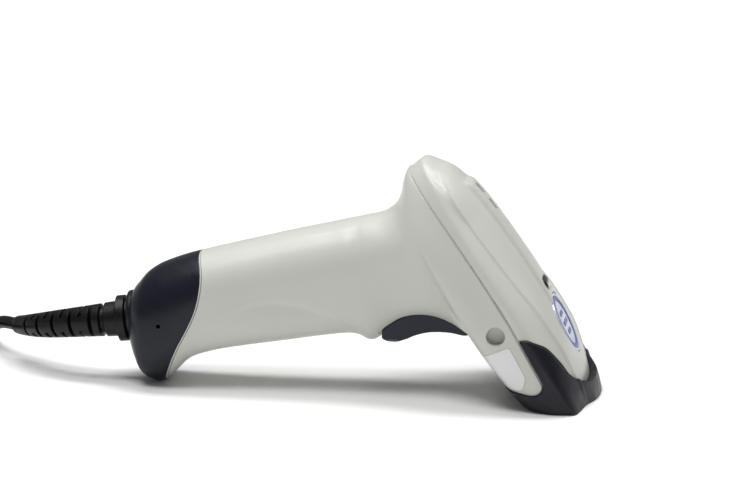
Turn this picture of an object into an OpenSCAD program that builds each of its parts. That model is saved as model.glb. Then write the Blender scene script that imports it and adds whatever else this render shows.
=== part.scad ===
// Handheld barcode scanner, lying on its window rim and the heel of its end cap.
// Millimetres, +Z up, +X towards the nose, mirror plane at Y = 0.

/* [Shell] */
// Shift that centres the scanner on X = 0
shift_x = 1.8; // [0:0.1:4]
// Thickness of the plastic shells
wall = 2.4; // [1.6:0.1:3]
// Steepness of the head below the horizontal
head_tilt = 55.5; // [50:0.5:60]
// Half-width of the handle
grip_half = 16.4; // [15:0.1:18]
// Half-width of the head at mid length
head_half = 31; // [29:0.5:33]

/* [Bumper] */
// How far the rubber bumper stands proud of the shell
bumper_proud = 0.9; // [0.4:0.1:1.5]
// Depth of the bumper's seat in the shell
bumper_seat = 1.1; // [0.8:0.1:1.4]

/* [Trigger] */
// Half-width of the trigger
trigger_half = 9; // [7:0.5:10]
// Play between the trigger and its slot
trigger_gap = 0.5; // [0.4:0.1:0.8]
// Radius of the trigger's pivot pin
pin_r = 1; // [0.8:0.1:1.2]
// Radial clearance of a running fit
running = 0.05; // [0.02:0.01:0.1]

/* [Cradle recesses] */
// Radius of the two side recesses
recess_r = 3.3; // [2.8:0.1:3.6]

/* [Cable] */
// Diameter of the cord
cord_d = 4.6; // [4.6:0.1:4.8]
// Slope of the cable exit below the horizontal
exit_tilt = 7; // [5:0.5:9]
// Radius of the coil at the middle of its turns
coil_r = 25; // [24:1:27]

/* [Hidden] */

big = 400;
head_x = 16;
head_z = 78;
ring_n = 56;

// ---- curves and surfaces ----------------------------------------------------------------

// A smooth curve through rows of numbers, at place v
function smooth(rows, v) =
    let (n = len(rows), i = min(max(floor(v), 0), n - 2), f = v - i,
         a = rows[max(i - 1, 0)], b = rows[i], c = rows[i + 1], d = rows[min(i + 2, n - 1)])
    0.5 * (2 * b + (c - a) * f + (2 * a - 5 * b + 4 * c - d) * f * f
        + (3 * b - a - 3 * c + d) * f * f * f);

// Value of a table of [place, value] pairs, straight between them
function table(rows, x) =
    let (i = max([0, for (j = [0 : len(rows) - 2]) if (rows[j][0] <= x) j]),
         f = min(1, max(0, (x - rows[i][0]) / (rows[i + 1][0] - rows[i][0]))))
    rows[i][1] + (rows[i + 1][1] - rows[i][1]) * f;

function power(v, e) = sign(v) * pow(abs(v), e);

// Point of an egg-shaped outline: how far along from 0 to 1, and how far out from the axis
function egg(a, half, taper, order) =
    let (u = 0.5 * (1 - power(cos(a), 2 / order)))
    [u, half * power(sin(a), 2 / order) * (1 + taper * (2 * u - 1))];

// Closed solid through rings of points that all have the same number of points
module loft(rings) {
    m = len(rings[0]);
    last = len(rings) - 1;
    points = [for (r = rings) for (p = r) p];
    sides = [for (i = [0 : last - 1]) for (j = [0 : m - 1])
        let (k = (j + 1) % m)
        each [[i * m + j, i * m + k, (i + 1) * m + k], [i * m + j, (i + 1) * m + k, (i + 1) * m + j]]];
    start = [for (j = [1 : m - 2]) [0, j + 1, j]];
    finish = [for (j = [1 : m - 2]) [last * m, last * m + j, last * m + j + 1]];
    polyhedron(points = points, faces = concat(sides, start, finish), convexity = 8);
}

// One solid out of its children, as a single mesh
module as_mesh() minkowski() { union() children(); }

// Frame of the head: X along it towards the nose, Z out of its top
module head_frame() translate([head_x, 0, head_z]) rotate([0, head_tilt, 0]) children();

// Everything but the cord is shifted so that the scanner is centred
module centred() translate([shift_x, 0, 0]) children();

// Straight prism across the scanner, from an outline in the X and Z plane
module across(outline, width = big) rotate([90, 0, 0]) linear_extrude(width, center = true)
    polygon(outline);

// Where the head begins and ends along its own length, its end being below the table
head_back = -2.2;
head_end = 118;
function head_point(s, t) = [head_x + s * cos(head_tilt) + t * sin(head_tilt),
    head_z - s * sin(head_tilt) + t * cos(head_tilt)];

// Handle and lower head: each row is top x, top z, bottom x, bottom z, half-width, taper, order
g = grip_half;
GRIP = [
    [-84.3, 31.0, -84.9, 14.5, 8.5, 0, 2.1],
    [-83.4, 33.2, -84.0, 11.8, 10.8, 0, 2.1],
    [-81.6, 35.6, -82.8, 8.0, 13.2, 0, 2.15],
    [-78.8, 38.9, -80.9, 3.6, g - 1.2, 0, 2.2],
    [-74.8, 41.7, -77.8, 1.0, g - 0.2, 0, 2.25],
    [-70.1, 43.8, -73.2, 0.1, g + 0.3, 0, 2.3],
    [-65.1, 45.6, -68.8, 3.4, g + 0.3, 0, 2.3],
    [-59.2, 47.3, -63.0, 8.8, g + 0.1, 0, 2.3],
    [-50.5, 49.6, -54.5, 11.8, g, 0, 2.3],
    [-41.0, 52.0, -43.0, 14.0, g - 0.1, 0, 2.3],
    [-31.0, 54.5, -31.0, 15.9, g - 0.2, 0, 2.3],
    [-21.0, 56.9, -19.5, 17.8, g, 0, 2.3],
    [-12.5, 58.8, -8.5, 19.4, g + 0.2, 0, 2.3],
    [-8.5, 59.8, -3.0, 19.3, g + 0.4, 0, 2.3],
    [-5.5, 60.5, 1.6, 17.4, g + 0.6, 0, 2.3],
    [-3.0, 61.0, 5.0, 18.8, g + 0.8, 0, 2.3],
    [-1.0, 61.5, 9.0, 22.3, g + 1.0, 0, 2.3],
    [1.4, 62.0, 14.0, 25.4, g + 1.3, 0, 2.3],
    [3.9, 62.6, 20.0, 26.7, g + 1.8, 0, 2.3],
    [6.0, 63.4, 26.0, 26.2, g + 2.4, 0, 2.3],
    [7.9, 64.6, 31.5, 24.2, g + 3.3, 0.01, 2.3],
    [9.6, 66.1, 36.5, 21.2, g + 4.8, 0.04, 2.3],
    [11.1, 68.5, 42.3, 17.2, g + 7.2, 0.1, 2.35],
    [12.2, 72.0, 50.4, 6.2, g + 10.8, 0.19, 2.45],
    [13.1, 76.4, 64.0, -7.9, head_half - 1.4, 0.27, 2.55],
    [each head_point(head_back, 0), each head_point(head_end, 0), head_half, 0.3, 2.6],
    [each head_point(head_back, 6), each head_point(head_end, 6), head_half, 0.3, 2.6]];

// One ring of the handle and lower head, grown outwards by grow
function grip_ring(v, grow) =
    let (q = smooth(GRIP, v), top = [q[0], q[1]], low = [q[2], q[3]],
         d = (low - top) / norm(low - top), a = top - d * grow, b = low + d * grow)
    [for (j = [0 : ring_n - 1])
        let (e = egg(360 * j / ring_n, q[4] + grow, q[5], q[6]), p = a + (b - a) * e[0])
        [p[0], e[1], p[1]]];

module grip_solid(grow = 0, from = 0, upto = 26, step = 1)
    loft([for (v = [from : step : upto]) grip_ring(v, grow)]);

// Height of the parting line between body and top cover, in the head's frame
function parting(s) = 0.4 + 3.6 * sin(1.8 * s);
PARTING_AT = [-13 : 5.5 : 124.5];

// Crease that runs round the top cover: its height, and its half-width before the ends are rounded
CREASE = [[3, 10.4], [7, 8.8], [13, 9], [30, 10], [50, 11.8], [64, 13.2], [76, 12.9], [90, 10.2], [100,
    7], [118, 0]];
FLANK = [[3, 24], [13, 25], [25, 23], [40, 23.6], [57, 25], [66, 25.2], [76, 24.2], [90, 20.8], [100,
    19], [118, 15]];
crease_back = 3;
// Height of the cover's middle, and of the bumper's middle over the nose
DECK = [[3, 10.4], [4.5, 11.7], [7, 13], [11, 14.1], [16, 15.1], [22, 15.8], [30, 16.2], [45, 16.3], [60,
    15.9],
    [74, 14.9], [85, 13.2], [95, 10.4], [106, 6], [118, 0]];
NOSE = [[3, 10.4], [16, 15.1], [45, 16.3], [62, 15.9], [74, 14.9], [85, 13.7], [91, 13.3], [96, 12.2],
    [101, 10.3], [118, 0]];

// Share of the spine's height along the head and across it
SPINE_ENDS = [[12, 0], [15, 1], [58, 1], [72, 0]];
SPINE_SIDES = [[6, 1], [8, 0]];
spine_high = 1.1;

// Superellipse factor of the crease, and its half-width, at place s along the head
function rounding(s) =
    let (u = max(0, min(1, (s - crease_back) / (head_end - crease_back)))) pow(1 - pow(abs(2 * u - 1),
        2.7), 1 / 2.7);
function crease_half(s) = max(0.01, table(FLANK, s) * rounding(s));

// Height of the dome at place s, y inside the crease
function dome(s, y, deck) =
    table(CREASE, s) + (table(deck, s) - table(CREASE, s)) * (1 - pow(min(1, abs(y) / crease_half(s)), 2.4))
    + spine_high * table(SPINE_ENDS, s) * table(SPINE_SIDES, abs(y));

// Rings of the top cover in the head's frame: up its side, then over its dome
function outline_at(a, grow) =
    let (e = egg(a, head_half + grow, 0.3, 2.6)) [head_back - grow + (head_end - head_back + 2 * grow)
        * e[0], e[1]];
function crease_at(a, grow) =
    let (u = egg(a, 1, 0, 2.7), s = crease_back + (head_end - crease_back) * u[0])
    [s + grow * (2 * u[0] - 1), u[1] * (table(FLANK, s) + grow), s];
function side_ring(f, grow) =
    [for (j = [0 : ring_n - 1])
        let (a = 360 * j / ring_n, p = outline_at(a, grow), q = crease_at(a, grow),
             out = f - 0.42 * sin(180 * f) * (1 - f * 0.6))
        [p[0] + (q[0] - p[0]) * out, p[1] + (q[1] - p[1]) * out, side_foot + (table(CREASE, q[2])
            + grow - side_foot) * f]];
function dome_ring(rho, grow, deck) =
    [for (j = [0 : ring_n - 1])
        let (q = crease_at(360 * j / ring_n, 0), r = crease_at(360 * j / ring_n, grow),
             s = 50 + (q[0] - 50) * rho, y = q[1] * rho)
        [50 + (r[0] - 50) * rho, r[1] * rho, dome(s, y, deck) + grow]];

// Height up to which the head's side is straight, and how far it leans in below that
side_foot = 4.6;
seam_inset = 0.6;
module cover_solid(grow = 0, deck = DECK)
    head_frame() loft(concat(
        [[for (j = [0 : ring_n - 1]) [each outline_at(360 * j / ring_n, grow - seam_inset), -3]]],
        [for (f = [0, 0.2, 0.45, 0.7, 0.88, 1]) side_ring(f, grow)],
        [for (rho = [0.985, 0.95, 0.89, 0.8, 0.69, 0.56, 0.42, 0.27, 0.12]) dome_ring(rho, grow, deck)]));

// ---- cutting regions ----------------------------------------------------------------------

module above_parting(gap = 0)
    head_frame() across(concat([for (s = PARTING_AT) [s, parting(s) + gap]], [[124.5, 60], [-13, 60]]));

module below_parting(gap = 0)
    head_frame() across(concat([for (s = PARTING_AT) [s, parting(s) - gap]],
        [[124.5, -260], [-220, -260], [-220, -60], [-13, -16]]));

// Line of the seam between the end cap and the body
SEAM = [[-60.4, 52], [-59.2, 47.4], [-57.5, 42.7], [-57.3, 36.8], [-58.8, 29.4], [-61.9, 22.2],
    [-65.9, 14.6], [-69.2, 6.9], [-71.4, 0.7], [-72.2, -4]];
function seam(gap) = [for (v = [0 : 0.5 : 9]) smooth(SEAM, v) + [gap, 0]];
module cap_side(gap = 0) across(concat(seam(-gap), [[-110, -4], [-110, 52]]));
module body_side(gap = 0) across(concat(seam(gap), [[200, -60], [200, 120], [-60, 120]]));

// Edge of the cover's nose in the head's frame: a broad rounded tongue
function tongue(grow) = concat([[-20, -60], [-20, 60], [79, 60], [79, 36]],
    [for (a = [50 : -10 : -50]) [64 + (31 + grow) * power(cos(a), 0.9), (32.3 + grow) * power(sin(a),
        0.8)]],
    [[79, -36], [79, -60]]);

// Upper edge of the bumper's horns in the head's frame, and the rounded end of the body between horn and table
HORN = [[66, 3.5], [66.4, 4.9], [67.4, 6.3], [69, 7.4], [71, 8.6], [73.5, 9.7], [77, 10.2], [82, 10.3],
    [86, 9.8], [91, 8], [97, 5], [124.5, 2]];
LOBE = [[-100, 7.6], [51.7, 7.6], [56.5, 6.9], [60, 6.5], [62.3, 6.8], [63.8, 7.8], [64.6, 9.2],
    [64.9, 10.9], [66.5, 16], [66.5, 120], [-100, 120]];
function horn_edge(grow) = concat([for (s = [-13 : 5.5 : 64]) [s, parting(s) - grow]],
    [for (p = HORN) p - [0, grow]], [[124.5, 60], [-13, 60]]);

// Where the bumper goes; inset grows the shell's share of the surface
module bumper_region(grow = 0) difference() {
    head_frame() translate([50, -60, -60]) cube([80, 120, 110]);
    head_frame() intersection() {
        linear_extrude(60) polygon(tongue(grow));
        across(horn_edge(grow));
    }
    intersection() {
        below_parting(-grow);
        across([for (p = LOBE) p + [0.7, -0.7] * grow]);
    }
}

// Underside of the pan in front of the trigger, and the space deeper than depth behind it
PAN = [[36.9, 21.6], [38.4, 19.9], [46.4, 11.6], [54.4, 2.4], [60.5, -5]];
pan_normal = [0.74, 0.67];
module behind_pan(depth) {
    across(concat([for (p = PAN) p + depth * pan_normal], [[120, -60], [120, 120], [38.6, 120], [38.6,
        26]]));
    translate([-120, -60, 31]) cube([240, 120, 200]);
}

module table_top(height = 0) translate([-200, -100, height]) cube([400, 200, 200]);

// ---- visible shells ----------------------------------------------------------------------

// Slot under the handle that the trigger moves in
SLOT = [[4.9, 10], [4.9, 33], [12, 36], [30, 34.5], [38.6, 30.5], [38.6, 22.6], [37.4, 20], [37.4, 10]];
pivot = [34.2, 26.6];
recess_at = [48.2, 26.8];

module trigger_ears() for (side = [-1, 1]) scale([1, side, 1])
    translate([31, trigger_half + trigger_gap, 23.2]) cube([6.6, 10, 7.2]);

module spring_rib() translate([7, -18, 37.6]) cube([8, 16, 1.6]);

// Places of the cover's screws and of the optics' screws in the head's frame
cover_screw = [25, 18.6];
chassis_screw = [76, 11];
module screw_posts(at, from, upto, r) head_frame() for (side = [-1, 1])
    translate([at[0], side * at[1], from]) cylinder(h = upto - from, r = r, $fn = 32);

module recess_bosses() for (side = [-1, 1])
    translate([recess_at[0], side * 25.5, recess_at[1]]) rotate([90, 0, 0]) cylinder(h = 8,
        r = recess_r + 1.8, center = true, $fn = 40);

module body_shell() color([0.80, 0.80, 0.76]) centred() difference() {
    as_mesh() {
        difference() {
            intersection() {
                grip_solid();
                union() {
                    head_frame() translate([-60, -80, -140]) cube([200, 160, 160]);
                    translate([-120, -60, -20]) cube([125, 120, 100]);
                }
                below_parting(0.1);
                body_side(0.1);
                table_top(0.7);
            }
            difference() {
                intersection() {
                    grip_solid(-wall, 2);
                    union() {
                        behind_pan(wall);
                        translate([-120, -60, -60]) cube([158.7, 120, 200]);
                    }
                }
                intersection() {
                    grip_solid(-1);
                    union() {
                        trigger_ears();
                        spring_rib();
                        recess_bosses();
                        screw_posts(cover_screw, -4, 6, 3.2);
                        screw_posts(chassis_screw, -14, -7, 3);
                    }
                }
            }
            across(SLOT, 2 * (trigger_half + trigger_gap));
            difference() {
                intersection() {
                    bumper_region(-0.1);
                    grip_solid(bumper_proud + 1, 20);
                }
                intersection() {
                    grip_solid(-bumper_seat, 18);
                    behind_pan(bumper_seat);
                }
            }
        }
    }
    translate([pivot[0], 0, pivot[1]]) rotate([90, 0, 0]) cylinder(h = 25, r = pin_r, center = true,
        $fn = 32);
    for (side = [-1, 1]) translate([recess_at[0], side * 34, recess_at[1]]) rotate([90, 0, 0])
        cylinder(h = 12, r = recess_r, center = true, $fn = 48);
    screw_posts(cover_screw, -5, 7, 1.4);
    screw_posts(chassis_screw, -9.5, -5, 1.2);
}

// Sound slots over the buzzer: place along the head
SLOTS = [17.8, 25];
lens_s = 58.4;
badge_s = 74;
badge_r = 11.2;
badge_lean = 8;
badge_t = 14.3;

// Frame of the badge: its centre, with Z out of the cover
module badge_frame() head_frame() translate([badge_s, 0, badge_t]) rotate([0, badge_lean, 0]) children();

// Oval prism of the indicator's shape, standing on the head's frame
module indicator_oval(r, from, upto) head_frame() translate([lens_s, 0, from]) union() {
    for (side = [-1, 1]) translate([0, side * 2.6, 0]) cylinder(h = upto - from, r = r, $fn = 40);
    translate([-r, -2.6, 0]) cube([2 * r, 5.2, upto - from]);
}

module top_cover() color([0.80, 0.80, 0.76]) centred() as_mesh() difference() {
    intersection() {
        cover_solid();
        above_parting(0.1);
        table_top(0.7);
    }
    difference() {
        cover_solid(-wall);
        screw_posts(cover_screw, 0, 20, 3.2);
    }
    difference() {
        bumper_region(-0.1);
        cover_solid(-bumper_seat);
    }
    for (s = SLOTS) head_frame() translate([s, 0, 17]) cube([4.4, 2.4, 12], center = true);
    indicator_oval(2.4, 10, 22);
    badge_frame() translate([0, 0, -0.9]) cylinder(h = 8, r = badge_r + 0.3, $fn = 64);
    screw_posts(cover_screw, 0, 9, 1.2);
}

// Outer form of the whole head, grown outwards by grow
module head_form(grow, deck) union() {
    intersection() {
        grip_solid(grow, 16);
        below_parting(-0.3);
    }
    intersection() {
        cover_solid(grow, deck);
        above_parting(-2);
    }
}

module bumper() color([0.10, 0.10, 0.15]) centred() as_mesh() difference() {
    intersection() {
        head_form(bumper_proud, NOSE);
        bumper_region(0.1);
        table_top();
    }
    intersection() {
        head_form(-bumper_seat + 0.1, DECK);
        behind_pan(bumper_seat - 0.1);
    }
}

// Frame of the cable exit: origin at the collar's face, Z straight out of it
module exit_frame() translate([-85, 0, 22.2]) rotate([0, -90 - exit_tilt, 0]) children();

pinhole_at = [-72.4, 23.2];

module end_cap() color([0.15, 0.155, 0.205]) centred() difference() {
    as_mesh() {
        difference() {
            union() {
                intersection() {
                    grip_solid(0, 0, 10);
                    cap_side(0.1);
                    table_top();
                }
                exit_frame() translate([0, 0, -6]) cylinder(h = 6, r = 9.7, $fn = 48);
            }
            grip_solid(-wall, 2.2, 12);
        }
    }
    exit_frame() translate([0, 0, -14]) cylinder(h = 20, r = 7.2, $fn = 48);
    translate([pinhole_at[0], -14, pinhole_at[1]]) rotate([90, 0, 0]) cylinder(h = 12, r = 0.75,
        center = true, $fn = 24);
}

module scan_window() color([0.45, 0.08, 0.08, 0.6]) centred() as_mesh() intersection() {
    translate([40, -40, 1.6]) cube([60, 80, 1.6]);
    union() {
        intersection() {
            grip_solid(-wall - 0.1, 18);
            behind_pan(wall + 0.1);
            below_parting(-0.4);
        }
        intersection() {
            cover_solid(-wall - 0.1);
            above_parting(-0.4);
        }
    }
}

module badge() color([0.86, 0.87, 0.90]) centred() badge_frame() difference() {
    translate([0, 0, -0.8]) cylinder(h = 1.3, r = badge_r, $fn = 64);
    translate([0, 0, 0.2]) cylinder(h = 1, r = badge_r - 1, $fn = 64);
}

module badge_emblem() color([0.16, 0.22, 0.60]) centred() badge_frame() {
    translate([0, 0, 0.25]) linear_extrude(0.2) difference() {
        circle(r = badge_r - 1.3, $fn = 64);
        circle(r = badge_r - 2.9, $fn = 64);
    }
    for (k = [-1, 0, 1]) translate([k * 3.4, 0, 0.35]) cube([1.4, 9 - 3 * abs(k), 0.2], center = true);
}

module rating_label() color([0.93, 0.93, 0.93]) centred() as_mesh() intersection() {
    difference() {
        grip_solid(0.25, 18);
        grip_solid(0.05, 18);
    }
    translate([0, -25, 0]) head_frame() across([[64, -11], [66, -0.5], [78, -1.5], [81, -5], [79, -8.5]],
        26);
}

module indicator_lens() color([0.10, 0.10, 0.14]) centred() union() {
    indicator_oval(2.3, 11.3, 17.3);
    indicator_oval(3.2, 11.3, 12.5);
}

module indicator_led() color([0.9, 0.9, 0.85]) centred() head_frame()
    translate([lens_s, 0, 10]) cube([2.8, 3.2, 2], center = true);

// ---- trigger and switch -------------------------------------------------------------------

// Finger side of the trigger, from its free end to its pivot end
FINGER = [[5.9, 20.4], [6.2, 18.9], [8.2, 17.5], [10.8, 17.4], [14.4, 19.2], [18.5, 21.0], [23.5, 22.1],
    [29.6, 22.1], [34.6, 21.2], [36.6, 21.4]];

module trigger() color([0.18, 0.18, 0.24]) centred() difference() {
    union() {
        intersection() {
            across(concat(FINGER, [[36.6, 26], [32, 28.6], [24, 29.4], [16, 28.6], [9.5, 25.6], [5.9,
                22.5]]), 2 * trigger_half);
            rotate([0, 90, 0]) translate([-31, 0, 0]) cylinder(h = 60, r = 14.6, $fn = 72);
        }
        translate([pivot[0], 0, pivot[1]]) rotate([90, 0, 0]) cylinder(h = 16, r = 2.3, center = true,
            $fn = 36);
        translate([18, 2.4, 28]) cube([4, 3, 3]);
    }
    translate([pivot[0], 0, pivot[1]]) rotate([90, 0, 0]) cylinder(h = 40, r = pin_r + running,
        center = true, $fn = 32);
    translate([11, -5, 25.4]) cylinder(h = 10, r = 3, $fn = 36);
    for (x = [22.5, 27.5]) translate([x, 0, 29]) cube([3, 12, 8], center = true);
}

module trigger_pin() color([0.75, 0.76, 0.78]) centred()
    translate([pivot[0], 0, pivot[1]]) rotate([90, 0, 0]) cylinder(h = 24.6, r = pin_r, center = true,
        $fn = 32);

// Tube of even thickness along a list of points
function along(path, i) =
    let (n = len(path), d = path[min(i + 1, n - 1)] - path[max(i - 1, 0)]) d / norm(d);
function tube_ring(path, i, r, sides) =
    let (d = along(path, i), u = cross([0, 0, 1], d) / norm(cross([0, 0, 1], d)), w = cross(u, d))
    [for (j = [0 : sides - 1]) path[i] + r * (cos(360 * j / sides) * u + sin(360 * j / sides) * w)];
module tube(path, r, sides) loft([for (i = [0 : len(path) - 1]) tube_ring(path, i, r, sides)]);

spring_low = 25.9;
spring_top = 37.3;
module trigger_spring() color([0.7, 0.71, 0.73]) centred()
    tube([for (i = [0 : 60]) [11 + 2.2 * cos(i * 36), -5 + 2.2 * sin(i * 36),
        spring_low + (spring_top - spring_low) * i / 60]],
        0.28, 6);

plunger_at = [20, 3.9];
module trigger_switch() color([0.12, 0.12, 0.13]) centred() difference() {
    translate([13.6, 1, 33.6]) cube([12.8, 5.8, 6.4]);
    translate([18.4, plunger_at[1] - 1.6, 30]) cube([4.6, 3.2, 8]);
}

module switch_plunger() color([0.85, 0.25, 0.2]) centred()
    translate([plunger_at[0], plunger_at[1], 31.3]) cylinder(h = 4.6, r = 1.2, $fn = 28);

// ---- electronics --------------------------------------------------------------------------

// Frame of the main board: X along the handle, Z up the board
module board_frame() translate([-20, 0, 38]) rotate([0, -10, 0]) children();

module main_board() color([0.10, 0.35, 0.20]) centred() board_frame()
    translate([-32, -0.8, -12]) cube([74, 1.6, 22]);

module decoder_chips() color([0.09, 0.09, 0.10]) centred() board_frame() {
    for (c = [[-8, 3, 14, 14], [12, 4, 10, 8], [-24, -4, 7, 5]])
        translate([c[0], -1.8, c[1]]) cube([c[2], 2, c[3]], center = true);
    for (c = [[-20, 4, 8, 5], [4, -5, 6, 4]])
        translate([c[0], 1.8, c[1]]) cube([c[2], 2, c[3]], center = true);
}

module head_board() color([0.10, 0.35, 0.20]) centred() head_frame() translate([12, -11, 3.4]) cube([18,
    22, 1.6]);

module buzzer() color([0.08, 0.08, 0.09]) centred() head_frame() translate([21.4, 0, 5]) difference() {
    cylinder(h = 6, r = 6, $fn = 48);
    translate([0, 0, 5]) cylinder(h = 2, r = 1.2, $fn = 24);
}

module optics_chassis() color([0.13, 0.13, 0.14]) centred() head_frame() difference() {
    translate([33, -17, -7]) cube([49, 34, 16]);
    translate([34.6, -15.4, -5.4]) cube([50, 30.8, 12.8]);
    translate([30, -14, -5]) cube([8, 28, 11.4]);
    for (side = [-1, 1]) translate([chassis_screw[0], side * chassis_screw[1], -8]) cylinder(h = 4,
        r = 1.3, $fn = 24);
}

module chassis_screws() color([0.72, 0.73, 0.75]) centred() union() {
    screw_posts(chassis_screw, -9.3, -5, 1.2);
    screw_posts(chassis_screw, -5.4, -3.9, 2.3);
}

module lens_barrel() color([0.10, 0.10, 0.11]) centred() head_frame() translate([42, 0, 0.6]) rotate([0,
    90, 0]) difference() {
    union() {
        cylinder(h = 11, r = 5.2, $fn = 48);
        translate([-5.95, -6, 1]) cube([11.9, 12, 6]);
    }
    translate([0, 0, -1]) cylinder(h = 14, r = 4, $fn = 48);
}

module lens_element() color([0.75, 0.85, 0.9, 0.5]) centred() head_frame() translate([42, 0, 0.6])
    rotate([0, 90, 0])
    for (z = [2, 7.5]) translate([0, 0, z]) cylinder(h = 1.8, r = 4, $fn = 48);

module sensor_board() color([0.10, 0.35, 0.20]) centred() head_frame() translate([34.8, -13, -5.4])
    cube([1.6, 26, 11.4]);

module ccd_sensor() color([0.15, 0.15, 0.17]) centred() head_frame() translate([36.4, -11, -2])
    cube([2.4, 22, 5]);

// Flat flexible cable from the main board up to the sensor board
FLEX = [[13, 49.8], [20, 53.2], [27.5, 53.2], [33, 48.2]];
module sensor_flex() color([0.75, 0.55, 0.2]) centred() translate([0, 5, 0]) union() {
    for (i = [0 : 2]) hull() for (p = [FLEX[i], FLEX[i + 1]])
        translate([p[0], 0, p[1]]) rotate([90, 0, 0]) cylinder(h = 7, r = 0.25, center = true, $fn = 12);
}

module led_board() color([0.10, 0.35, 0.20]) centred() head_frame() translate([66, -15, 2.6]) cube([1.6,
    30, 4.6]);

module illumination_leds() color([0.85, 0.2, 0.15]) centred() head_frame() for (k = [-3 : 3])
    translate([67.6, k * 4.2, 4.9]) rotate([0, 90, 0]) cylinder(h = 3.4, r = 1.4, $fn = 28);

module cover_screws() color([0.72, 0.73, 0.75]) centred() union() {
    screw_posts(cover_screw, -4.5, 8.6, 1.2);
    screw_posts(cover_screw, -5.6, -4, 2.3);
}

// ---- cable --------------------------------------------------------------------------------

module cable_socket() color([0.13, 0.13, 0.14]) centred() exit_frame() difference() {
    translate([-7.5, -6.2, -33]) cube([15, 12.4, 20]);
    translate([-6, -3.6, -31]) cube([12, 7.2, 20]);
    translate([-2, -5.2, -31]) cube([4, 3, 20]);
}

module cable_plug() color([0.8, 0.82, 0.84, 0.7]) centred() exit_frame()
    translate([-5.8, -3.2, -29.5]) cube([11.6, 6.4, 22.9]);

module plug_latch() color([0.8, 0.82, 0.84, 0.7]) centred() exit_frame() union() {
    translate([-1.5, -4.6, -28]) cube([3, 0.9, 13.5]);
    translate([-1.5, -4, -28]) cube([3, 0.8, 1.5]);
}

// Points that the strain relief bends along, with its radius at each
BOOT = [[-85.9, 0, 22.1, 7.5], [-86.4, 0, 22.03, 8.2], [-89.2, 0, 21.7, 8.2], [-89.6, 0, 21.65, 6.3],
    [-93.7, 0.1, 21.1, 6.1],
    [-94.1, 0.1, 21.05, 4.6], [-95.1, 0.2, 20.95, 4.6], [-95.5, 0.2, 20.9, 5.9], [-100.8, 1.2, 20, 5.6],
        [-108.4, 3.7, 18.5, 5.2],
    [-115.5, 7.5, 16.8, 4.8], [-121.8, 12.4, 15.1, 4.3], [-127.3, 18.2, 13.5, 3.7], [-130.1, 21.4, 12.8,
        3.3], [-130.5, 21.8, 12.7, 2.7]];
boot_slot = 1.5;
// Slots of the strain relief: place, turn towards the far side, slope and which way the slot faces
BOOT_SLOTS = [[-98.4, 0.7, 20.4, 8, 8, 0], [-101.9, 1.5, 19.8, 13, 9, 90], [-105.3, 2.5, 19.1, 18, 11, 0],
    [-108.6, 3.8, 18.5, 23, 12, 90], [-111.8, 5.3, 17.7, 27, 13, 0], [-114.9, 7.1, 17, 31, 13, 90],
    [-117.8, 9.1, 16.2, 36, 13, 0], [-120.5, 11.3, 15.5, 41, 13, 90], [-123.1, 13.7, 14.8, 45, 12, 0]];

module cable_boot() color([0.07, 0.07, 0.08]) centred() as_mesh() difference() {
    union() {
        loft([for (i = [0 : len(BOOT) - 1]) tube_ring([for (p = BOOT) [p[0], p[1], p[2]]], i, BOOT[i][3],
            32)]);
        exit_frame() translate([0, 0, -6.6]) cylinder(h = 7.8, r = 6.9, $fn = 48);
    }
    for (p = BOOT_SLOTS) translate([p[0], p[1], p[2]]) rotate([0, 0, -p[3]]) rotate([0, -90 - p[4], 0])
        rotate([0, 0, p[5]])
        for (side = [-1, 1]) translate([-9, side * 6.4 - 4, -boot_slot / 2]) cube([18, 8, boot_slot]);
}

// Points of the cord between the strain relief and the coil, then between the coil and the plug
LEAD = [[-128.7, 21.8, 12.7], [-131.6, 25, 12.3], [-134.5, 28.4, 11.9], [-137.2, 32, 11], [-139.7, 35.8,
    9.4],
    [-141.8, 39.8, 7.4], [-143.5, 44, 5.4], [-145, 48.4, 3.8], [-146.8, 52.7, 2.8], [-149.3, 56.8, 2.3],
        [-152.6, 60.6, 2.3]];
coil_at = [-182, 40];
coil_turns_wide = 5;
coil_layers = 2;
coil_half = coil_turns_wide * cord_d / 2;
coil_high = coil_layers * cord_d;
TAIL = [[-179, 5.9, 6.9], [-172, 5.4, 6.3], [-165.4, 4.4, 4.8], [-159.4, 2.2, 3.2], [-155.2, -1.6, 2.4],
    [-153.8, -6.3, 2.3],
    [-155.6, -11, 2.6], [-159.6, -14, 3.2], [-164.2, -15.2, 3.9], [-168, -15.4, 4.2]];

module cord_lead() color([0.05, 0.05, 0.06]) tube(LEAD, cord_d / 2, 8);

module cord_coil() color([0.05, 0.05, 0.06]) translate([coil_at[0], coil_at[1], 0]) rotate_extrude($fn = 72)
    translate([coil_r - coil_half, 0]) polygon([[1.4, 0], [2 * coil_half - 1.4, 0], [2 * coil_half, 1.6],
        [2 * coil_half, coil_high - 1.6], [2 * coil_half - 1.4, coil_high], [1.4, coil_high], [0,
            coil_high - 1.6], [0, 1.6]]);

module cord_tie() color([0.05, 0.05, 0.06]) translate([coil_at[0], coil_at[1] + coil_r, 0]) difference() {
    translate([-4, -coil_half - 0.8, 0]) cube([8, 2 * coil_half + 1.6, coil_high + 0.9]);
    translate([-5, -coil_half + 0.2, 0.9]) cube([10, 2 * coil_half - 0.4, coil_high - 0.9]);
}

module cord_tail() color([0.05, 0.05, 0.06]) tube(TAIL, cord_d / 2, 8);

plug_at = [-168, -15.4, 4.2];
// Frame of the plug: origin where the cord goes in, X towards its metal shell
module plug_frame() translate(plug_at) rotate([0, 0, 180]) children();

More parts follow.
